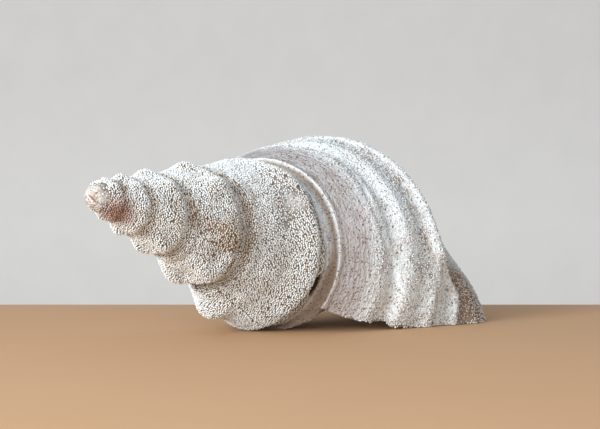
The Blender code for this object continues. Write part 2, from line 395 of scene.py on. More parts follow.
def build_hollow(surface, columns):
    """The lip's edge, the canal's end and the hollow that winds back into the spire."""
    last = columns[-1]
    first = columns[(WHORLS - 1) * STEPS]
    suture = ROWS[-1] - 1
    tip = surface.add(np.array([[SHELL_LENGTH - CANAL_NOTCH, 0.0, 0.0]]), 0.0, SHELL_LENGTH, 1.0)[0]
    ends = [column[-1] for column in columns[(WHORLS - 1) * STEPS:]]
    for a, b in zip(ends, ends[1:]):
        surface.faces.append((a, b, tip))
    ring = last + [tip] + first[:suture:-1]
    ring_at = list((surface.shares - SPIRE_LENGTH) / (SHELL_LENGTH - SPIRE_LENGTH))
    ring_at += [1.0 + 0.5 / LUMEN_INNER]
    ring_at += list(np.linspace(1.0 + 1.0 / LUMEN_INNER, 2.0, len(first) - 1 - suture))
    turns = np.concatenate([
        np.linspace(0.0, NEAR_ANGLE, NEAR_RINGS),
        np.linspace(NEAR_ANGLE, LUMEN_TURNS * TURN, FAR_RINGS)[1:],
    ])
    for turn in -turns:
        places, shares = lumen_ring(float(turn))
        inner = surface.add(places, turn, SPIRE_LENGTH, 1.0)
        if len(ring) == len(inner):
            surface.band(ring + ring[:1], inner + inner[:1])
        else:
            inner_at = list(shares) + [LOOP_END]
            surface.faces += zip_loops(ring + ring[:1], ring_at + [LOOP_END], inner + inner[:1], inner_at)
        ring = inner
    points = np.concatenate(surface.points)
    centre = surface.add(points[ring].mean(axis=0)[None], turn, SPIRE_LENGTH, 1.0)[0]
    for k in range(len(ring)):
        surface.faces.append((ring[k], ring[(k + 1) % len(ring)], centre))


# Where the cords run on the last whorl: turns before the lip, and share of the way across
GROOVE_HIGH = ((-0.33, -0.25, -0.20, -0.15, -0.12, -0.08), (0.40, 0.30, 0.27, 0.29, 0.36, 0.42))
GROOVE_LOW = ((-0.30, -0.21, -0.16, -0.11, -0.08), (0.68, 0.66, 0.665, 0.72, 0.80))
RIDGE = ((-0.25, -0.19, -0.14, -0.115, -0.095, -0.07), (0.77, 0.76, 0.78, 0.90, 0.99, 0.97))

# Sizes of the uneven forms
LUMP_SIZE = 9.0 * MM
FINE_SIZE = 3.0 * MM
PATCH_SIZE = 14.0 * MM
SWELL_SIZE = 13.0 * MM

# Stretches of the coil, in turns: where the crusted whorls end, and where the ledge begins
CRUST_ENDS = (-0.80, -0.72)
LEDGE_SHOWS = (-1.90, -1.65)

# Slopes: start and length. Across a whorl they are shares, along the coil turns before the lip
LEDGE_CRUST = (0.83, 0.06)
ROUGH_COIL = (-0.62, 0.15)
LIP_CRUST = (0.05, 0.3)
LAST_CRUST = (0.17, 0.08)
CORDS_COIL = (-0.55, 0.25)
STEEP_COIL = (-0.19, 0.06)
FLANK_LOW = (1.30, -0.16)
WORN_SHADED_LIP_COIL = (-0.16, 0.05)
SUTURE_SHADE_AND_DIRT = (0.84, 0.08)
LEDGE_SHADE_AND_DIRT = (0.88, 0.04)
LEDGE_SHADE_AND_DIRT_COIL = (-1.13, 0.08)

# The flank starts this share past the ridge and falls over this share
RIDGE_FOOT = 0.02
FLANK_EDGE = 0.05

# How far the rough lip reaches back, in radians
LIP_ROUGH_ANGLE = 0.13

# Bands: height in millimetres, or strength, then middle and width as shares
PROUD_EDGE = (0.75, 0.015, 0.014)
OLD_EDGE = (0.30, 0.02, 0.02)
OLD_VALLEY = (0.6, 0.965, 0.02)
OLD_HOLLOW = (0.9, 0.92, 0.07)
UPPER_HOLLOW = (0.45, 0.13, 0.06)
LEDGE_BANDS = ((-0.55, 0.895, 0.018), (0.60, 0.943, 0.020), (-0.75, 0.980, 0.014))
FRONT_SWELL = (0.9, 0.66, 0.13)
FRONT_HOLLOW = (0.6, 0.36, 0.10)
ROUGH_BAND = (1.25, 0.66, 0.09)
EDGE_SHADE_AND_DIRT = (0.4, 0.05, 0.06)
LEDGE_SHADE_AND_DIRT_BANDS = ((0.5, 0.90, 0.02), (0.9, 0.985, 0.025))
HIGH_GROOVE_DEPTH = 0.55 * MM
HIGH_GROOVE_WIDTH = 0.022
HIGH_CORD_RISE = 0.25 * MM
HIGH_CORD_WIDTH = 0.025
HIGH_CORD_BELOW = 0.05
LOW_GROOVE_DEPTH = 1.25 * MM
LOW_GROOVE_WIDTH = 0.040
LOW_GROOVE_BROWN = 0.5
LOW_GROOVE_BROWN_WIDTH = 0.03
RIDGE_RISE = 0.9
RIDGE_STEEP_RISE = 1.1
RIDGE_WIDTH = 0.036
FLANK_DEPTH = 0.8 * MM

# Along the coil, in turns: middle and width
FRONT_COIL = (-1.15, 0.11)
FLANK_COIL = (-0.085, 0.045)

# Spots: strength, then middle and width along the coil and across
WORN_SPOTS = ((0.6, -1.20, 0.06, 0.51, 0.14), (0.4, -1.14, 0.04, 0.33, 0.10))
BROWN_SPOT = (0.4, -2.14, 0.10, 0.60, 0.30)
PIT = (1.5, -1.037, 0.020, 0.868, 0.034)
PIT_DEPTH = 1.0 * MM

# How much crust each place has, and what the uneven forms and wear add to it or take away
LEDGE_CRUST_LOSS = 0.8
WORN_CRUST_LOSS = 0.75
PATCH_WEAR = 0.5
PATCH_WEAR_FROM = 0.35
ROUGH_CRUST = 0.45
ROUGH_CRUST_BY_FINE = 0.3
LIP_EDGE_CRUST = 0.75
LAST_CRUST_LEAST = 0.34
LAST_CRUST_BY_PATCH = 0.16
LAST_CRUST_BY_FINE = 0.2
BARE_GAIN = 1.8
BARE_FROM = 0.45
BARE_BY_FINE = 0.5
WORN_LIP_CRUST = 0.55
HOLE_CLEARS = 1.5
PIT_EDGE = 2.0
TIP_HOLE_EDGE = 1.6

# How brown each place is, from stains, dirt and painted shade
SUTURE_BROWN = 0.6
LEDGE_BROWN = 0.45
PATCH_BROWN = 0.5
PATCH_BROWN_GAIN = 1.6
PIT_BROWN = 2.0
FLANK_BROWN = 0.7
SHADED_LIP_BROWN = 0.7

# Heights, and the turns before which the valleys and the tip's hole are cut
LUMPS_ON_LAST = 0.4
LUMPS_ON_OLD = 0.6
VALLEYS_BEFORE = -1.0
TIP_BEFORE = -2.0
SKIN_SUNK = 0.30 * MM
CRUST_SUNK = 0.28 * MM
LUMP_RISE = 0.34 * MM
FINE_RISE = 0.10 * MM
SWELL_RISE = 0.95 * MM
KNOB_MORE = 0.70
DEEPEST = 0.50
BARE_REACH = 5.2 * MM
TIP_HOLE = np.array((-104.4, 8.0, 44.2)) * MM
TIP_HOLE_SIZE = 0.8 * MM
TIP_HOLE_DEPTH = 0.8 * MM


def slope(value, place):
    """0 before the start of a slope and 1 after its length."""
    return smooth((value - place[0]) / place[1])


def band(value, place):
    """A soft band: its strength in the middle, less to its sides."""
    return place[0] * bell(value, place[1], place[2])


class Relief:
    """The outer skin's relief, crust and dirt, from where each point lies on the coil."""

    def __init__(self, points, turns, alongs):
        self.points = points
        self.turns = turns
        self.alongs = alongs
        self.share = (alongs - SPIRE_LENGTH) / WHORL_HEIGHT
        self.turn = turns / TURN
        self.size = scale_at(turns)
        self.lumps = grain(points, LUMP_SIZE)
        self.fine = grain(points + 1.0, FINE_SIZE, 2)
        self.patches = grain(points + 2.0, PATCH_SIZE, 2)
        self.old = 1.0 - grown(turns, CRUST_ENDS)
        self.last = 1.0 - self.old
        self.second = grown(turns, LEDGE_SHOWS)
        self.shown = self.old * self.second
        self.cords = self.last * slope(self.turn, CORDS_COIL)
        self.low_groove = np.interp(self.turn, *GROOVE_LOW)
        self.ridge = np.interp(self.turn, *RIDGE)
        past_ridge = smooth((self.share - self.ridge - RIDGE_FOOT) / FLANK_EDGE)
        self.flank = past_ridge * slope(self.share, FLANK_LOW) * bell(self.turn, *FLANK_COIL)
        self.worn_shaded_lip = self.last * past_ridge * slope(self.turn, WORN_SHADED_LIP_COIL)
        self.pit = self.shown * self.spot(PIT)
        self.bare = bell(points[:, 0], points[:, 0].min(), BARE_REACH)

    def spot(self, place):
        strength, turn, along, share, across = place
        return strength * bell(self.turn, turn, along) * bell(self.share, share, across)

    def crust(self):
        """The crust covers the spire, thins on the ledge over the last suture, and is fine beyond it."""
        crust = self.old * (1.0 - LEDGE_CRUST_LOSS * self.shown * slope(self.share, LEDGE_CRUST))
        worn = self.spot(WORN_SPOTS[0]) + self.spot(WORN_SPOTS[1])
        worn += PATCH_WEAR * (self.patches - PATCH_WEAR_FROM)
        crust *= 1.0 - WORN_CRUST_LOSS * np.clip(worn, 0.0, 1.0)
        rough = self.last * band(self.share, ROUGH_BAND) * slope(self.turn, ROUGH_COIL)
        near_edge = smooth(1.0 + (self.turns - lip_angle(self.alongs)) / LIP_ROUGH_ANGLE)
        lip = self.last * near_edge * slope(self.share, LIP_CRUST)
        rough *= ROUGH_CRUST + ROUGH_CRUST_BY_FINE * self.fine
        crust = np.maximum(crust, np.maximum(rough, LIP_EDGE_CRUST * lip))
        grains = LAST_CRUST_LEAST + LAST_CRUST_BY_PATCH * self.patches + LAST_CRUST_BY_FINE * self.fine
        crust = np.maximum(crust, self.last * grains * slope(self.share, LAST_CRUST))
        return crust * (1.0 - smooth(self.bare * BARE_GAIN - BARE_FROM + BARE_BY_FINE * self.fine))

    def hole(self):
        """1 in the hole on the ledge beside the last suture, and in the small one of the tip."""
        from_tip = np.linalg.norm(self.points - TIP_HOLE, axis=1) / TIP_HOLE_SIZE
        return np.minimum(PIT_EDGE * self.pit, 1.0) + smooth(TIP_HOLE_EDGE - from_tip)

    def rise(self, crust, hole):
        share, size, old, shown = self.share, self.size, self.old, self.shown
        lumps = LUMP_RISE * self.lumps * (LUMPS_ON_LAST + LUMPS_ON_OLD * old)
        rise = -SKIN_SUNK + lumps + FINE_RISE * self.fine
        rise -= CRUST_SUNK * crust
        # The last whorl's edge stands proud along the suture
        rise += MM * self.last * band(share, PROUD_EDGE)
        # Thin edges along the older sutures, each with a valley before it, and knobs between
        rise += MM * old * size * band(share, OLD_EDGE)
        rise -= MM * size * band(share, OLD_VALLEY) * (self.turn < VALLEYS_BEFORE)
        rise -= MM * size * (1.0 - self.second) * band(share, OLD_HOLLOW)
        rise += old * size * KNOB_MORE * knobs(self.turns, self.alongs)
        rise += SWELL_RISE * old * grain(self.points + 3.0, SWELL_SIZE, 1)
        rise -= MM * old * band(share, UPPER_HOLLOW)
        # The second last whorl: a swell at the front, then a groove, a cord and a hollow ledge
        front = MM * shown * bell(self.turn, *FRONT_COIL)
        rise += front * (band(share, FRONT_SWELL) - band(share, FRONT_HOLLOW))
        for ledge_band in LEDGE_BANDS:
            rise += MM * shown * band(share, ledge_band)
        # Cords and grooves of the last whorl, and the ridge that breaks off over a hollow flank
        high_groove = np.interp(self.turn, *GROOVE_HIGH)
        rise -= HIGH_GROOVE_DEPTH * self.cords * bell(share, high_groove, HIGH_GROOVE_WIDTH)
        rise += HIGH_CORD_RISE * self.cords * bell(share, high_groove + HIGH_CORD_BELOW, HIGH_CORD_WIDTH)
        rise -= LOW_GROOVE_DEPTH * self.cords * bell(share, self.low_groove, LOW_GROOVE_WIDTH)
        height = RIDGE_RISE + RIDGE_STEEP_RISE * slope(self.turn, STEEP_COIL)
        rise += height * MM * self.cords * bell(share, self.ridge, RIDGE_WIDTH)
        rise -= FLANK_DEPTH * self.flank
        rise -= PIT_DEPTH * np.minimum(self.pit, 1.0)
        rise -= TIP_HOLE_DEPTH * hole * (self.turn < TIP_BEFORE)
        # The skin stays outside the hollow
        return np.maximum(rise, -DEEPEST * WALL * size)

    def brown(self):
        """Painted shade and dirt in the sutures and on the ledge, brown in the low groove, painted shade
        on the flank, the worn lip and around the hole, and stains.
        """
        share, old, shown = self.share, self.old, self.shown
        # Painted shade and dirt in the older sutures' valleys and along the whorls' upper edges
        brown = SUTURE_BROWN * slope(share, SUTURE_SHADE_AND_DIRT) * old * (1.0 - self.second)
        brown += old * band(share, EDGE_SHADE_AND_DIRT)
        # Painted shade and dirt on the hollow ledge of the second last whorl
        for shade_and_dirt_band in LEDGE_SHADE_AND_DIRT_BANDS:
            brown += shown * band(share, shade_and_dirt_band)
        brown += LEDGE_BROWN * shown * slope(self.turn, LEDGE_SHADE_AND_DIRT_COIL) * slope(share, LEDGE_SHADE_AND_DIRT)
        brown += old * self.spot(BROWN_SPOT)
        brown += PATCH_BROWN * old * (1.0 - self.second) * smooth(self.patches * PATCH_BROWN_GAIN)
        # Painted shade around the hole, on the flank that turns away from the light, and on the lip
        # beside it
        brown += PIT_BROWN * self.pit + FLANK_BROWN * self.flank + SHADED_LIP_BROWN * self.worn_shaded_lip
        # Browner in the low groove
        brown += LOW_GROOVE_BROWN * self.cords * bell(share, self.low_groove, LOW_GROOVE_BROWN_WIDTH)
        return np.clip(brown, 0.0, 1.0)

    def all(self):
        """How far each point stands out, and how crusted, brown, bare and holed it is."""
        crust = self.crust()
        hole = self.hole()
        rise = self.rise(crust, hole)
        crust = np.maximum(crust, WORN_LIP_CRUST * self.worn_shaded_lip)
        crust *= 1.0 - np.clip(HOLE_CLEARS * hole, 0.0, 1.0)
        return rise, crust, self.brown(), self.bare, hole


def build_body():
    """One closed skin: coil, apex, lip and hollow, with each point's place on the coil for its relief."""
    surface = Surface()
    columns = build_coil(surface)
    build_apex(surface, columns)
    build_hollow(surface, columns)
    points = lay_down(np.concatenate(surface.points))
    turns = np.concatenate(surface.turns)
    alongs = np.concatenate(surface.alongs)
    inner = np.concatenate(surface.inner)
    mesh = bpy.data.meshes.new("shell_body")
    mesh.from_pydata([tuple(p) for p in points], [], surface.faces)
    mesh.flip_normals()
    normals = np.zeros(len(points) * 3)
    mesh.vertex_normals.foreach_get("vector", normals)
    normals = normals.reshape(-1, 3)
    return mesh, points, normals, turns, alongs, inner


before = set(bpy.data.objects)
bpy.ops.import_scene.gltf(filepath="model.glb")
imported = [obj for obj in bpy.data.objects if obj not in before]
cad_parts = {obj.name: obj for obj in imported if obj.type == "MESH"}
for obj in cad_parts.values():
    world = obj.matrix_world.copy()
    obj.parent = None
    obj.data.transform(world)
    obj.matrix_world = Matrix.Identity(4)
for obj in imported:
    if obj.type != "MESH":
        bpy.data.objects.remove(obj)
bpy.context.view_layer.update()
shell_low, shell_high = [np.array(corner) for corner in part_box("shell")]
mesh, points, normals, turns, alongs, inner = build_body()


STEP_AHEAD = 0.02


def coil_way():
    """The way the coil runs, as unit vectors."""
    ahead = lay_down(points_at(turns + STEP_AHEAD, *outer_place(turns + STEP_AHEAD, alongs)))
    way = ahead - lay_down(points_at(turns, *outer_place(turns, alongs)))
    return way / np.maximum(np.linalg.norm(way, axis=1), TINY)[:, None]


INNER_RISE = 0.12 * MM
INNER_LUMPS = 6.0 * MM
CRUMBLE = 1.9 * MM
CRUMBLE_SIZE = 2.3 * MM
CRUMBLE_ANGLE = 0.05
CRUMBLE_TURN = -1.3
SKIN_INSIDE = 0.02 * MM


def shape_body():
    """Push the outer skin by its relief, keep it in the part's box and give it its attributes."""
    outer = inner < 0.5
    rise, crust, brown, bare, hole = np.zeros((5, len(points)))
    found = Relief(points[outer], turns[outer], alongs[outer]).all()
    for values, outer_values in zip((rise, crust, brown, bare, hole), found):
        values[outer] = outer_values
    rise[~outer] = INNER_RISE * grain(points[~outer], INNER_LUMPS, 2)
    placed = points + normals * rise[:, None]
    # The lip's edge is crumbled back along the coil
    edge = smooth(1.0 + (turns - lip_angle(alongs)) / CRUMBLE_ANGLE) * (turns > CRUMBLE_TURN)
    bites = np.clip(grain(points, CRUMBLE_SIZE, 3) + 0.15, 0.0, 1.0)
    placed -= coil_way() * (CRUMBLE * edge * bites)[:, None]
    placed = np.clip(placed, shell_low + SKIN_INSIDE, shell_high - SKIN_INSIDE)
    mesh.vertices.foreach_set("co", placed.ravel())
    mesh.update()
    attributes = {"crust": crust, "brown": brown, "bare": bare, "hole": hole, "inner": inner}
    attributes["share"] = (alongs - SPIRE_LENGTH) / WHORL_HEIGHT
    attributes["turn"] = turns / TURN
    for name, value in attributes.items():
        layer = mesh.attributes.new(name, "FLOAT", "POINT")
        layer.data.foreach_set("value", value.astype(np.float32))
    return placed


placed = shape_body()
mesh.shade_smooth()
body = bpy.data.objects.new("shell_body", mesh)
bpy.context.scene.collection.objects.link(body)


class Paint:
    """A material, with short calls for the nodes it is made of."""

    def __init__(self, name, roughness):
        self.material = bpy.data.materials.new(name)
        self.material.use_nodes = True
        self.tree = self.material.node_tree
        self.shader = self.tree.nodes["Principled BSDF"]
        self.shader.inputs["Roughness"].default_value = roughness
        self.shader.inputs["Specular IOR Level"].default_value = 0.25
        self.place = self.tree.nodes.new("ShaderNodeTexCoord").outputs["Object"]

    def link(self, source, target):
        if isinstance(source, (int, float)):
            target.default_value = source
        elif isinstance(source, tuple):
            target.default_value = (*source, 1.0)
        else:
            self.tree.links.new(source, target)

    def value(self, name):
        node = self.tree.nodes.new("ShaderNodeAttribute")
        node.attribute_name = name
        return node.outputs["Fac"]

    def noise(self, size, detail=3.0, vector=None, rough=0.55):
        node = self.tree.nodes.new("ShaderNodeTexNoise")
        node.inputs["Scale"].default_value = 1.0 / size
        node.inputs["Detail"].default_value = detail
        node.inputs["Roughness"].default_value = rough
        self.link(self.place if vector is None else vector, node.inputs["Vector"])
        return node.outputs["Fac"]

    def cells(self, size):
        node = self.tree.nodes.new("ShaderNodeTexVoronoi")
        node.inputs["Scale"].default_value = 1.0 / size
        self.link(self.place, node.inputs["Vector"])
        return node.outputs["Distance"], node.outputs["Color"]

    def math(self, operation, a, b=0.0):
        node = self.tree.nodes.new("ShaderNodeMath")
        node.operation = operation
        self.link(a, node.inputs[0])
        self.link(b, node.inputs[1])
        return node.outputs[0]

    def ramp(self, value, low, high, start=0.0, end=1.0):
        node = self.tree.nodes.new("ShaderNodeMapRange")
        node.interpolation_type = "SMOOTHSTEP"
        self.link(value, node.inputs["Value"])
        for name, number in (("From Min", low), ("From Max", high), ("To Min", start), ("To Max", end)):
            node.inputs[name].default_value = number
        return node.outputs["Result"]

    def mix(self, share, first, second):
        node = self.tree.nodes.new("ShaderNodeMix")
        node.data_type = "RGBA"
        self.link(share, node.inputs["Factor"])
        self.link(first, node.inputs[6])
        self.link(second, node.inputs[7])
        return node.outputs[2]

    def dots(self, size, radius, wanted):
        """Round dots in a share of the cells, 1 inside."""
        distance, colour = self.cells(size)
        split = self.tree.nodes.new("ShaderNodeSeparateColor")
        self.link(colour, split.inputs[0])
        reach = self.math("MULTIPLY", split.outputs["Green"], radius)
        inside = self.math("LESS_THAN", distance, reach)
        chosen = self.math("LESS_THAN", split.outputs["Red"], wanted)
        return self.math("MULTIPLY", inside, chosen)

    def bump(self, height, strength, distance):
        node = self.tree.nodes.new("ShaderNodeBump")
        node.inputs["Strength"].default_value = strength
        node.inputs["Distance"].default_value = distance
        self.link(height, node.inputs["Height"])
        self.link(node.outputs["Normal"], self.shader.inputs["Normal"])

    def colour(self, socket):
        self.link(socket, self.shader.inputs["Base Color"])


# Colours in linear light: the skin, its stripes, specks, dirt and painted shade
CHALK_COOL = (0.79, 0.88, 0.93)
CHALK_GREY = (0.75, 0.80, 0.83)
STRIPE_GREY = (0.50, 0.44, 0.42)
SUTURE_GREY = (0.38, 0.36, 0.365)
LINE_BROWN = (0.30, 0.24, 0.23)
SPECK_TAN = (0.40, 0.26, 0.15)
DUST = (0.42, 0.37, 0.33)
GAP_LIGHT = (0.33, 0.27, 0.215)
GAP_DARK = (0.13, 0.09, 0.06)
DIRT_AND_SHADE = (0.21, 0.125, 0.065)
TIP_CREAM = (0.58, 0.56, 0.53)
TIP_PINK = (0.50, 0.36, 0.29)
PINHOLE = (0.13, 0.085, 0.06)
HOLE_SHADE_DARK = (0.035, 0.02, 0.012)
HOLE_ORANGE = (0.50, 0.24, 0.11)

# The hollow
HOLLOW_ORANGE = (0.62, 0.42, 0.28)
HOLLOW_CREAM = (0.70, 0.58, 0.46)
HOLLOW_SPECK = (0.35, 0.26, 0.20)

# The crust's beads, top and foot; the foot is darker, partly as painted shade
BEAD_WHITE = (0.84, 0.915, 0.95)
BEAD_GREY = (0.78, 0.81, 0.81)
BEAD_TAN = (0.52, 0.43, 0.34)
BEAD_DIRT_AND_SHADE = (0.36, 0.265, 0.17)
BEAD_RED = (0.37, 0.215, 0.175)
FOOT_BROWN = (0.25, 0.20, 0.165)
FOOT_DARK = (0.14, 0.09, 0.055)
FOOT_LAST = (0.62, 0.60, 0.57)

# Sizes of the markings; stripes and lines are shares of a whorl, drawn out along the coil
STRIPE_SHARE = 0.014
LINE_SHARE = 0.011
COIL_STRETCH = 0.35
BROAD_SIZE = 9.0 * MM
DUST_SIZE = 0.9 * MM
SPECK_SIZE = 1.8 * MM
SPECKS_FROM = 3.0 * MM
SPECKS_TO = 20.0 * MM
TIP_PATCH = 2.2 * MM
PINHOLES = ((1.25 * MM, 0.30, 0.7), (0.75 * MM, 0.42, 0.65))
GRAIN_SIZE = 0.8 * MM
ROUGH_SIZE = 1.1 * MM


def chalk_paint():
    """The worn skin: cool white with brown pinholes, stripes along the coil, and painted shade and dirt
    in its hollows.
    """
    paint = Paint("worn_chalk", 0.85)
    share = paint.value("share")
    turn = paint.value("turn")
    crust = paint.value("crust")
    brown = paint.value("brown")
    bare = paint.value("bare")
    coil = paint.tree.nodes.new("ShaderNodeCombineXYZ")
    paint.link(share, coil.inputs["X"])
    paint.link(paint.math("MULTIPLY", turn, COIL_STRETCH), coil.inputs["Y"])
    stripes = paint.noise(STRIPE_SHARE, 2.0, coil.outputs[0])
    lines = paint.noise(LINE_SHARE, 2.0, coil.outputs[0])
    fine = paint.noise(DUST_SIZE, 4.0)
    split = paint.tree.nodes.new("ShaderNodeSeparateXYZ")
    paint.link(paint.place, split.inputs[0])
    low = paint.ramp(split.outputs["Z"], SPECKS_FROM, SPECKS_TO, 1.0, 0.0)
    colour = paint.mix(paint.ramp(paint.noise(BROAD_SIZE), 0.35, 0.7), CHALK_COOL, CHALK_GREY)
    colour = paint.mix(paint.ramp(stripes, 0.45, 0.68, 0.0, 0.35), colour, STRIPE_GREY)
    # Grey and lined beside the suture, specked low down, dusty all over
    near_suture = paint.ramp(share, 0.15, 0.27, 1.0, 0.0)
    colour = paint.mix(paint.math("MULTIPLY", near_suture, 0.75), colour, SUTURE_GREY)
    lined = paint.math("MULTIPLY", paint.ramp(lines, 0.48, 0.58, 0.0, 0.75), near_suture)
    colour = paint.mix(lined, colour, LINE_BROWN)
    specks = paint.ramp(paint.noise(SPECK_SIZE, 5.0, rough=0.7), 0.52, 0.62)
    specks = paint.math("MULTIPLY", specks, low)
    colour = paint.mix(paint.math("MULTIPLY", specks, 0.6), colour, SPECK_TAN)
    colour = paint.mix(paint.ramp(fine, 0.50, 0.64, 0.0, 0.5), colour, DUST)
    # Brown between the crust's beads, and painted shade and dirt where the brown attribute is high
    gap = paint.mix(fine, GAP_LIGHT, GAP_DARK)
    colour = paint.mix(paint.ramp(crust, 0.3, 0.9), colour, gap)
    colour = paint.mix(paint.ramp(brown, 0.2, 1.0, 0.0, 0.85), colour, DIRT_AND_SHADE)
    # The bare tip, pinholes and holes; the ledge's hole is painted near black as its shade, the tip's
    # hole orange
    tip = paint.mix(paint.ramp(paint.noise(TIP_PATCH), 0.56, 0.62), TIP_CREAM, TIP_PINK)
    bared = paint.math("ADD", bare, paint.math("MULTIPLY", fine, 0.5))
    colour = paint.mix(paint.ramp(bared, 0.88, 1.0), colour, tip)
    pinholes = paint.math("MAXIMUM", paint.dots(*PINHOLES[0]), paint.dots(*PINHOLES[1]))
    colour = paint.mix(paint.math("MULTIPLY", pinholes, 0.8), colour, PINHOLE)
    # Painted shade: near black in the hole on the ledge
    deep = paint.mix(paint.ramp(bare, 0.3, 0.5), HOLE_SHADE_DARK, HOLE_ORANGE)
    paint.colour(paint.mix(paint.ramp(paint.value("hole"), 0.25, 0.6), colour, deep))
    grains = paint.math("MULTIPLY", paint.cells(GRAIN_SIZE)[0], 0.6)
    height = paint.math("SUBTRACT", paint.noise(ROUGH_SIZE, 5.0), grains)
    paint.bump(paint.math("SUBTRACT", height, pinholes), 0.85, 0.5 * MM)
    return paint.material


def hollow_paint():
    """The smoother wall inside the mouth: cream and orange."""
    paint = Paint("smooth_hollow", 0.45)
    colour = paint.mix(paint.ramp(paint.noise(14.0 * MM), 0.3, 0.7), HOLLOW_ORANGE, HOLLOW_CREAM)
    specks = paint.ramp(paint.noise(1.5 * MM), 0.6, 0.8, 0.0, 0.4)
    paint.colour(paint.mix(specks, colour, HOLLOW_SPECK))
    paint.bump(paint.noise(2.0 * MM), 0.25, 0.2 * MM)
    return paint.material


mesh.materials.append(chalk_paint())
mesh.materials.append(hollow_paint())
loops = np.zeros(len(mesh.loops), dtype=np.int32)
mesh.loops.foreach_get("vertex_index", loops)
starts = np.zeros(len(mesh.polygons), dtype=np.int32)
mesh.polygons.foreach_get("loop_start", starts)
mesh.polygons.foreach_set("material_index", (inner[loops[starts]] > 0.5).astype(np.int32))
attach(body, "root")
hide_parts("shell")


# A bead of the crust, before it is scaled: its top, its rings' height and reach, and its look by height
BEAD_SIDES = 5
BEAD_TOP = 0.42
BEAD_RINGS = ((0.20, 0.42), (-0.25, 0.50))
BEAD_STRETCH = 1.25
BEAD_RISES = (1.0, 0.55, 0.0)


def bead_mesh():
    """A low bead: five-sided, longer along the coil, closed under the skin."""
    corners = [(0.0, 0.0, BEAD_TOP)]
    for height, reach in BEAD_RINGS:
        for k in range(BEAD_SIDES):
            angle = TURN * (k + 0.5 * (height > 0)) / BEAD_SIDES
            corners.append((BEAD_STRETCH * reach * math.cos(angle), reach * math.sin(angle), height))
    faces = []
    for k in range(BEAD_SIDES):
        a, b = 1 + k, 1 + (k + 1) % BEAD_SIDES
        c, d = a + BEAD_SIDES, b + BEAD_SIDES
        faces.append((0, a, b))
        faces.append((a, c, d, b))
    faces.append(tuple(range(2 * BEAD_SIDES, BEAD_SIDES, -1)))
    bead = bpy.data.meshes.new("crust_bead")
    bead.from_pydata(corners, [], faces)
    top, middle, foot = BEAD_RISES
    layer = bead.attributes.new("rise", "FLOAT", "POINT")
    layer.data.foreach_set("value", [top] + [middle] * BEAD_SIDES + [foot] * BEAD_SIDES)
    bead.shade_smooth()
    return bpy.data.objects.new("crust_bead", bead)


def crust_paint():
    """White beads darkening to brown feet, painted shade over the brown ground between them; browner
    where dirt and painted shade lie, redder where stain gathers.
    """
    paint = Paint("crust_white", 0.9)
    brown = paint.value("brown")
    top = paint.mix(paint.ramp(paint.noise(5.0 * MM), 0.35, 0.7), BEAD_WHITE, BEAD_GREY)
    top = paint.mix(paint.ramp(paint.value("tint"), 0.72, 1.0, 0.0, 0.5), top, BEAD_TAN)
    # Tops browner where the brown attribute holds dirt and painted shade
    top = paint.mix(paint.ramp(brown, 0.2, 1.0, 0.0, 0.65), top, BEAD_DIRT_AND_SHADE)
    top = paint.mix(paint.value("red"), top, BEAD_RED)
    foot = paint.mix(brown, FOOT_BROWN, FOOT_DARK)
    foot = paint.mix(paint.ramp(paint.value("turn"), -0.82, -0.74, 0.0, 0.8), foot, FOOT_LAST)
    # Painted shade: each bead darkens from its white top to its foot
    paint.colour(paint.mix(paint.ramp(paint.value("rise"), 0.25, 0.80), foot, top))
    return paint.material


CRUST_SPACING = 0.58 * MM
CRUST_CROWDING = 5.0
BEAD_SMALLEST = (0.60 * MM, 0.52 * MM, 0.90 * MM)
BEAD_LARGEST = (1.06 * MM, 0.84 * MM, 2.00 * MM)
BEAD_LEAST = 0.4
BEAD_BY_CRUST = 0.6
SIZE_SEED = 3
TINT_SEED = 11
FIRST_SPREAD_SEED = 20
CRUST_INSIDE = 0.01 * MM
STAIN_PLACE = np.array((-98.0, 2.0, 40.0)) * MM
STAIN_REACH = 7.0 * MM
STAIN_CORE = 1.25
CRUST_PIECES = (
    ("crust_tip_whorls", -6.1, -2.9),
    ("crust_third_whorl", -2.9, -2.05),
    ("crust_second_whorl_rear", -2.05, -1.5),
    ("crust_second_whorl_front", -1.5, -0.9),
    ("crust_last_whorl_rear", -0.9, -0.38),
    ("crust_last_whorl_front", -0.38, 0.1),
)


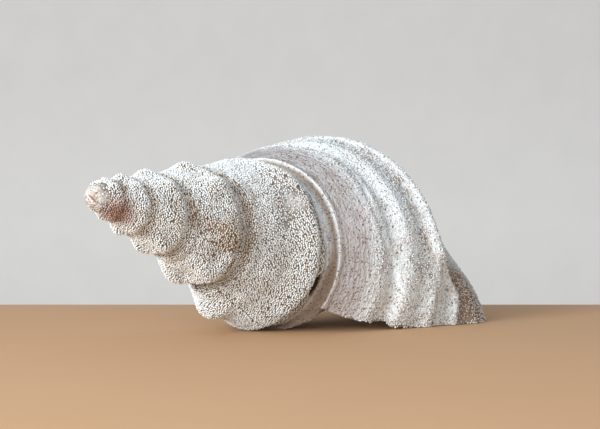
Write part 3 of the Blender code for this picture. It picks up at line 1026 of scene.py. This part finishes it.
def crust_tree(bead, finish):
    """Beads spread over the skin where it is crusted, laid along the coil."""
    tree = bpy.data.node_groups.new("crust_spread", "GeometryNodeTree")
    tree.interface.new_socket("Geometry", in_out="INPUT", socket_type="NodeSocketGeometry")
    low = tree.interface.new_socket("From Turn", in_out="INPUT", socket_type="NodeSocketFloat")
    high = tree.interface.new_socket("To Turn", in_out="INPUT", socket_type="NodeSocketFloat")
    seed = tree.interface.new_socket("Seed", in_out="INPUT", socket_type="NodeSocketInt")
    tree.interface.new_socket("Geometry", in_out="OUTPUT", socket_type="NodeSocketGeometry")
    nodes = tree.nodes
    links = tree.links

    def add(kind, **settings):
        node = nodes.new(kind)
        for name, value in settings.items():
            setattr(node, name, value)
        return node

    def attribute(name, kind="FLOAT"):
        node = add("GeometryNodeInputNamedAttribute", data_type=kind)
        node.inputs["Name"].default_value = name
        return node.outputs["Attribute"]

    def maths(operation, a, b):
        node = add("ShaderNodeMath", operation=operation)
        for source, target in ((a, node.inputs[0]), (b, node.inputs[1])):
            if isinstance(source, (int, float)):
                target.default_value = source
            else:
                links.new(source, target)
        return node.outputs[0]

    source = add("NodeGroupInput")
    result = add("NodeGroupOutput")
    above = maths("GREATER_THAN", attribute("turn"), source.outputs["From Turn"])
    below = maths("LESS_THAN", attribute("turn"), source.outputs["To Turn"])
    zone = maths("MULTIPLY", above, below)
    wanted = maths("MULTIPLY", zone, attribute("crust"))
    spread = add("GeometryNodeDistributePointsOnFaces", distribute_method="POISSON")
    spread.inputs["Distance Min"].default_value = CRUST_SPACING
    spread.inputs["Density Max"].default_value = CRUST_CROWDING / CRUST_SPACING**2
    links.new(source.outputs["Geometry"], spread.inputs["Mesh"])
    links.new(wanted, spread.inputs["Density Factor"])
    links.new(source.outputs["Seed"], spread.inputs["Seed"])
    turned = add("FunctionNodeAlignRotationToVector", axis="X", pivot_axis="Z")
    links.new(spread.outputs["Rotation"], turned.inputs["Rotation"])
    links.new(attribute("flow", "FLOAT_VECTOR"), turned.inputs["Vector"])
    shape = add("GeometryNodeObjectInfo")
    shape.inputs["Object"].default_value = bead
    size = add("FunctionNodeRandomValue", data_type="FLOAT_VECTOR")
    size.inputs[0].default_value = BEAD_SMALLEST
    size.inputs[1].default_value = BEAD_LARGEST
    size.inputs["Seed"].default_value = SIZE_SEED
    lay = add("GeometryNodeInstanceOnPoints")
    links.new(spread.outputs["Points"], lay.inputs["Points"])
    links.new(shape.outputs["Geometry"], lay.inputs["Instance"])
    links.new(turned.outputs["Rotation"], lay.inputs["Rotation"])
    full = maths("MULTIPLY_ADD", attribute("crust"), BEAD_BY_CRUST)
    full.node.inputs[2].default_value = BEAD_LEAST
    scaled = add("ShaderNodeVectorMath", operation="SCALE")
    links.new(size.outputs[0], scaled.inputs["Vector"])
    links.new(full, scaled.inputs["Scale"])
    links.new(scaled.outputs["Vector"], lay.inputs["Scale"])
    tint = add("FunctionNodeRandomValue", data_type="FLOAT")
    tint.inputs["Seed"].default_value = TINT_SEED
    store = add("GeometryNodeStoreNamedAttribute", data_type="FLOAT", domain="INSTANCE")
    store.inputs["Name"].default_value = "tint"
    links.new(lay.outputs["Instances"], store.inputs["Geometry"])
    links.new(tint.outputs[1], store.inputs["Value"])
    real = add("GeometryNodeRealizeInstances")
    links.new(store.outputs["Geometry"], real.inputs["Geometry"])
    paint = add("GeometryNodeSetMaterial")
    paint.inputs["Material"].default_value = finish
    links.new(real.outputs["Geometry"], paint.inputs["Geometry"])
    links.new(paint.outputs["Geometry"], result.inputs["Geometry"])
    return tree, low.identifier, high.identifier, seed.identifier


def mark_flow():
    """The way the coil runs, and the red stain near the apex, for the crust."""
    flow = coil_way()
    layer = mesh.attributes.new("flow", "FLOAT_VECTOR", "POINT")
    layer.data.foreach_set("vector", flow.astype(np.float32).ravel())
    from_stain = np.linalg.norm(placed - STAIN_PLACE, axis=1)
    red = smooth(STAIN_CORE - from_stain / STAIN_REACH) * (1.0 - inner)
    layer = mesh.attributes.new("red", "FLOAT", "POINT")
    layer.data.foreach_set("value", red.astype(np.float32))


def build_crust():
    """The crust in pieces, by their stretch of the coil."""
    bead = bead_mesh()
    bpy.context.scene.collection.objects.link(bead)
    finish = crust_paint()
    tree, low, high, seed = crust_tree(bead, finish)
    for number, (name, start, end) in enumerate(CRUST_PIECES):
        holder = bpy.data.objects.new(name, mesh)
        bpy.context.scene.collection.objects.link(holder)
        spread = holder.modifiers.new("spread", "NODES")
        spread.node_group = tree
        spread[low] = start
        spread[high] = end
        spread[seed] = FIRST_SPREAD_SEED + number
        state = bpy.context.evaluated_depsgraph_get()
        ready = holder.evaluated_get(state)
        crust = bpy.data.meshes.new_from_object(ready, preserve_all_data_layers=True, depsgraph=state)
        holder.modifiers.remove(spread)
        holder.data = crust
        crust.materials.clear()
        crust.materials.append(finish)
        crust.polygons.foreach_set("material_index", np.zeros(len(crust.polygons), dtype=np.int32))
        spots = np.zeros(len(crust.vertices) * 3)
        crust.vertices.foreach_get("co", spots)
        spots = np.clip(spots.reshape(-1, 3), shell_low + CRUST_INSIDE, shell_high - CRUST_INSIDE)
        crust.vertices.foreach_set("co", spots.ravel())
        crust.update()
        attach(holder, "root")
    bpy.data.objects.remove(bead)


mark_flow()
build_crust()


# The stage: distances from the shell's middle, away from the camera, to the side and up
FLOOR_COLOUR = (0.66, 0.41, 0.23)
WALL_COLOUR = (0.93, 0.89, 0.84)
STAGE_ROUGHNESS = 0.8
STAGE_MOTTLE = 0.93
STAGE_MOTTLE_SIZE = 40.0 * MM
FLOOR_NEAR = -1.5
FLOOR_FAR = 0.10
FLOOR_HEIGHT = -0.15 * MM
WALL_AWAY = 1.3
WALL_LOW = -0.8
WALL_TOP = 1.6
HALF_WIDTH = 2.0

# The camera stands level with the shell, apex to the left
YAW = 0.997
PITCH = 0.019
RIGHT = Vector((math.cos(YAW), -math.sin(YAW), 0.0))
AHEAD = Vector((math.sin(YAW) * math.cos(PITCH), math.cos(YAW) * math.cos(PITCH), -math.sin(PITCH)))
FLAT_AHEAD = Vector((AHEAD.x, AHEAD.y, 0.0)).normalized()
CAMERA_PLACE = Vector((-0.42006, -0.26859, 0.04849))
LENS = 87.0
SENSOR = 36.0

# Lamps: place from what they aim at, to the right, ahead and up; width and height; watts
AIM = (0.0, 0.0, 0.03)
LAMPS = (
    ("window", (-0.62, -0.74, 0.30), (0.34, 0.34), 8.4),
    ("front_fill", (-0.30, -1.0, 0.08), (0.9, 0.6), 11.5),
)
LAMP_COLOUR = (0.975, 0.993, 1.0)
ROOM_COLOUR = (0.78, 0.83, 0.90, 1.0)
ROOM_STRENGTH = 0.50


def plain_paint(name, colour):
    paint = Paint(name, STAGE_ROUGHNESS)
    darker = tuple(STAGE_MOTTLE * c for c in colour)
    paint.colour(paint.mix(paint.noise(STAGE_MOTTLE_SIZE), colour, darker))
    return paint.material


def flat_plate(name, near, far, colour):
    """A plate as wide as the stage, between two lines given by their distance ahead and their height."""
    side = RIGHT * HALF_WIDTH
    first = FLAT_AHEAD * near[0] + Vector((0.0, 0.0, near[1]))
    second = FLAT_AHEAD * far[0] + Vector((0.0, 0.0, far[1]))
    plate = bpy.data.meshes.new(name)
    plate.from_pydata([first - side, first + side, second + side, second - side], [], [(0, 1, 2, 3)])
    plate.materials.append(plain_paint(name, colour))
    holder = bpy.data.objects.new(name, plate)
    bpy.context.scene.collection.objects.link(holder)


def set_camera():
    data = bpy.data.cameras.new("camera")
    data.sensor_width = SENSOR
    data.lens = LENS
    camera = bpy.data.objects.new("camera", data)
    turned = Matrix((RIGHT, RIGHT.cross(AHEAD), -AHEAD)).transposed().to_4x4()
    camera.matrix_world = Matrix.Translation(CAMERA_PLACE) @ turned
    bpy.context.scene.collection.objects.link(camera)
    bpy.context.scene.camera = camera


def set_lamp(name, offset, size, power):
    data = bpy.data.lights.new(name, "AREA")
    data.shape = "RECTANGLE"
    data.size = size[0]
    data.size_y = size[1]
    data.energy = power
    data.color = LAMP_COLOUR
    place = Vector(AIM) + RIGHT * offset[0] + FLAT_AHEAD * offset[1] + Vector((0.0, 0.0, offset[2]))
    lamp = bpy.data.objects.new(name, data)
    lamp.location = place
    lamp.rotation_euler = (Vector(AIM) - place).to_track_quat("-Z", "Y").to_euler()
    bpy.context.scene.collection.objects.link(lamp)


def set_room():
    world = bpy.data.worlds.new("room")
    world.use_nodes = True
    world.node_tree.nodes["Background"].inputs["Color"].default_value = ROOM_COLOUR
    world.node_tree.nodes["Background"].inputs["Strength"].default_value = ROOM_STRENGTH
    bpy.context.scene.world = world


flat_plate("stage_floor", (FLOOR_NEAR, FLOOR_HEIGHT), (FLOOR_FAR, FLOOR_HEIGHT), FLOOR_COLOUR)
flat_plate("stage_wall", (WALL_AWAY, WALL_LOW), (WALL_AWAY, WALL_TOP), WALL_COLOUR)
for lamp_values in LAMPS:
    set_lamp(*lamp_values)
set_room()
set_camera()
bpy.context.scene.view_settings.view_transform = "Standard"
bpy.context.scene.view_settings.look = "None"
